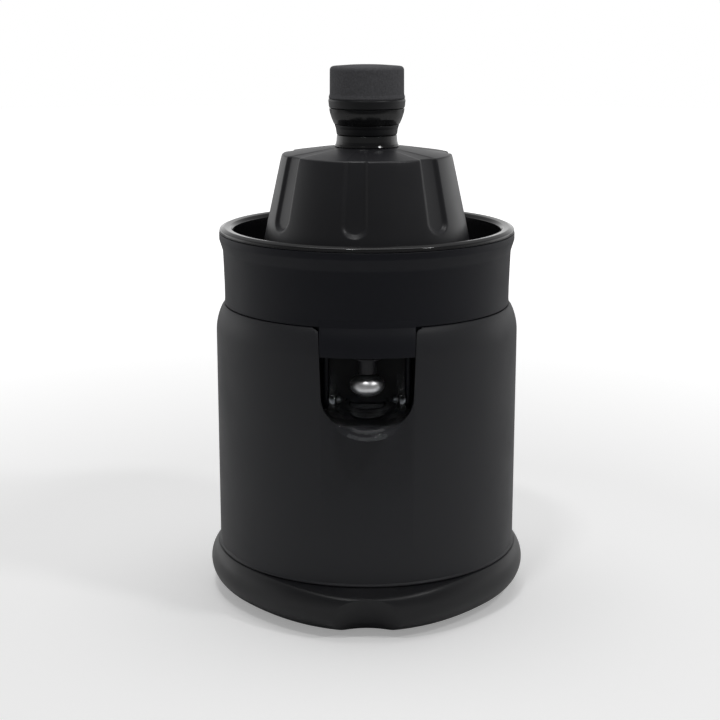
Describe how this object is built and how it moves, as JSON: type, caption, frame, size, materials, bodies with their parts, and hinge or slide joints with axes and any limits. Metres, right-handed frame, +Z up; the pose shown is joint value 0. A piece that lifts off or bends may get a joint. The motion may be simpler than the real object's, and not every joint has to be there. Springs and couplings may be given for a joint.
{
  "type": "citrus press juicer",
  "caption": "Electric citrus press: round black body with a geared motor, reamer cone, strainer, lift-off bowl with a tilting clear spout, and a press lid with a knob.",
  "frame": {"origin": "on the table, under the middle of the base; the front nose and the rear cord inlet reach equally far", "axes": "+Z up along the spindle, -Y towards the spout and the user, +X to the user's right"},
  "size_m": [0.1754, 0.188, 0.29],
  "materials": {
    "shell": "soft-touch matte black",
    "satin": "satin black",
    "gloss": "high gloss black",
    "grip": "fine-grained matte dark grey",
    "rubber": "matte rubber",
    "white": "natural engineering plastic",
    "amber": "phenolic brown",
    "clear": "clear, polished",
    "steel": "plain steel",
    "silver": "satin bright metal",
    "copper": "wound copper and laminations"
  },
  "bodies": {
    "body": {"housing": "shell", "base_ring": "satin", "base_plate": "satin", "foot_1": "rubber", "foot_2": "rubber", "foot_3": "rubber", "foot_4": "rubber", "base_screw_1": "steel", "base_screw_2": "steel", "base_screw_3": "steel", "base_screw_4": "steel", "cord_inlet": "rubber", "motor_deck": "shell", "deck_screw_1": "steel", "deck_screw_2": "steel", "deck_screw_3": "steel", "spindle_bush": "white", "spindle_seal": "rubber", "gearbox_plate": "steel", "plate_screw_1": "steel", "plate_screw_2": "steel", "plate_screw_3": "steel", "motor_can": "steel", "field_magnet": "rubber", "motor_end_bell": "white", "motor_screw_1": "steel", "motor_screw_2": "steel", "brush_left": "rubber", "brush_right": "rubber", "compound_pin": "steel", "switch_body": "amber", "switch_bracket": "steel", "terminal_block": "white"},
    "rotor": {"motor_shaft": "steel", "armature": "copper", "commutator": "copper", "motor_pinion": "steel"},
    "idler": {"compound_gear": "white"},
    "output": {"output_gear": "white", "press_spring": "steel"},
    "spindle": {"drive_spindle": "steel"},
    "plunger": {"switch_plunger": "white"},
    "collector": {"juice_collector": "shell", "spout_pin_right": "steel", "spout_pin_left": "steel"},
    "spout": {"spout": "clear"},
    "stopper": {"stopper_button": "silver", "stopper_stem": "shell", "outlet_seal": "rubber"},
    "strainer": {"strainer": "gloss"},
    "cone_ring": {"cone_ring": "white"},
    "cone": {"reamer_cone": "gloss"},
    "lid": {"press_lid": "satin", "lid_neck": "gloss", "neck_collar": "grip", "knob_base": "gloss", "knob_grip": "grip", "knob_screw": "steel"}
  },
  "joints": [
    {"name": "rotor_spin", "type": "hinge", "parent": "body", "child": "rotor", "pos_m": [0, 0.044, 0.06], "axis": [0, 0, 1], "continuous": true},
    {"name": "idler_spin", "type": "hinge", "parent": "body", "child": "idler", "pos_m": [-0.02935, 0.03004, 0.105], "axis": [0, 0, 1], "continuous": true},
    {"name": "output_spin", "type": "hinge", "parent": "body", "child": "output", "pos_m": [0, 0, 0.1], "axis": [0, 0, 1], "continuous": true},
    {"name": "spindle_press", "type": "slide", "parent": "output", "child": "spindle", "axis": [0, 0, 1], "range_m": [-0.0018, 0], "stiffness_N_per_m": 3000, "springref_m": 0.002, "deforming": ["press_spring"]},
    {"name": "plunger_press", "type": "slide", "parent": "body", "child": "plunger", "axis": [0, 0, 1], "range_m": [-0.0018, 0]},
    {"name": "collector_lift", "type": "slide", "parent": "body", "child": "collector", "axis": [0, 0, 1], "range_m": [0, 0.12]},
    {"name": "spout_tilt", "type": "hinge", "parent": "collector", "child": "spout", "pos_m": [0, -0.061, 0.121], "axis": [-1, 0, 0], "range_deg": [0, 12]},
    {"name": "stopper_rise", "type": "slide", "parent": "collector", "child": "stopper", "axis": [0, 0, 1], "range_m": [0, 0.003]},
    {"name": "strainer_lift", "type": "slide", "parent": "collector", "child": "strainer", "axis": [0, 0, 1], "range_m": [0, 0.06]},
    {"name": "cone_press", "type": "slide", "parent": "strainer", "child": "cone_ring", "axis": [0, 0, 1], "range_m": [-0.0018, 0]},
    {"name": "cone_spin", "type": "hinge", "parent": "cone_ring", "child": "cone", "pos_m": [0, 0, 0.2], "axis": [0, 0, 1], "continuous": true},
    {"name": "lid_lift", "type": "slide", "parent": "strainer", "child": "lid", "axis": [0, 0, 1], "range_m": [0, 0.07]}
  ],
  "couplings": [
    {"joint": "idler_spin", "follows": "rotor_spin", "ratio": -0.3},
    {"joint": "output_spin", "follows": "rotor_spin", "ratio": 0.081818},
    {"joint": "cone_spin", "follows": "rotor_spin", "ratio": 0.081818},
    {"joint": "plunger_press", "follows": "spindle_press", "ratio": 1},
    {"joint": "cone_press", "follows": "spindle_press", "ratio": 1},
    {"joint": "stopper_rise", "follows": "spout_tilt", "m_per_rad": 0.01425}
  ]
}
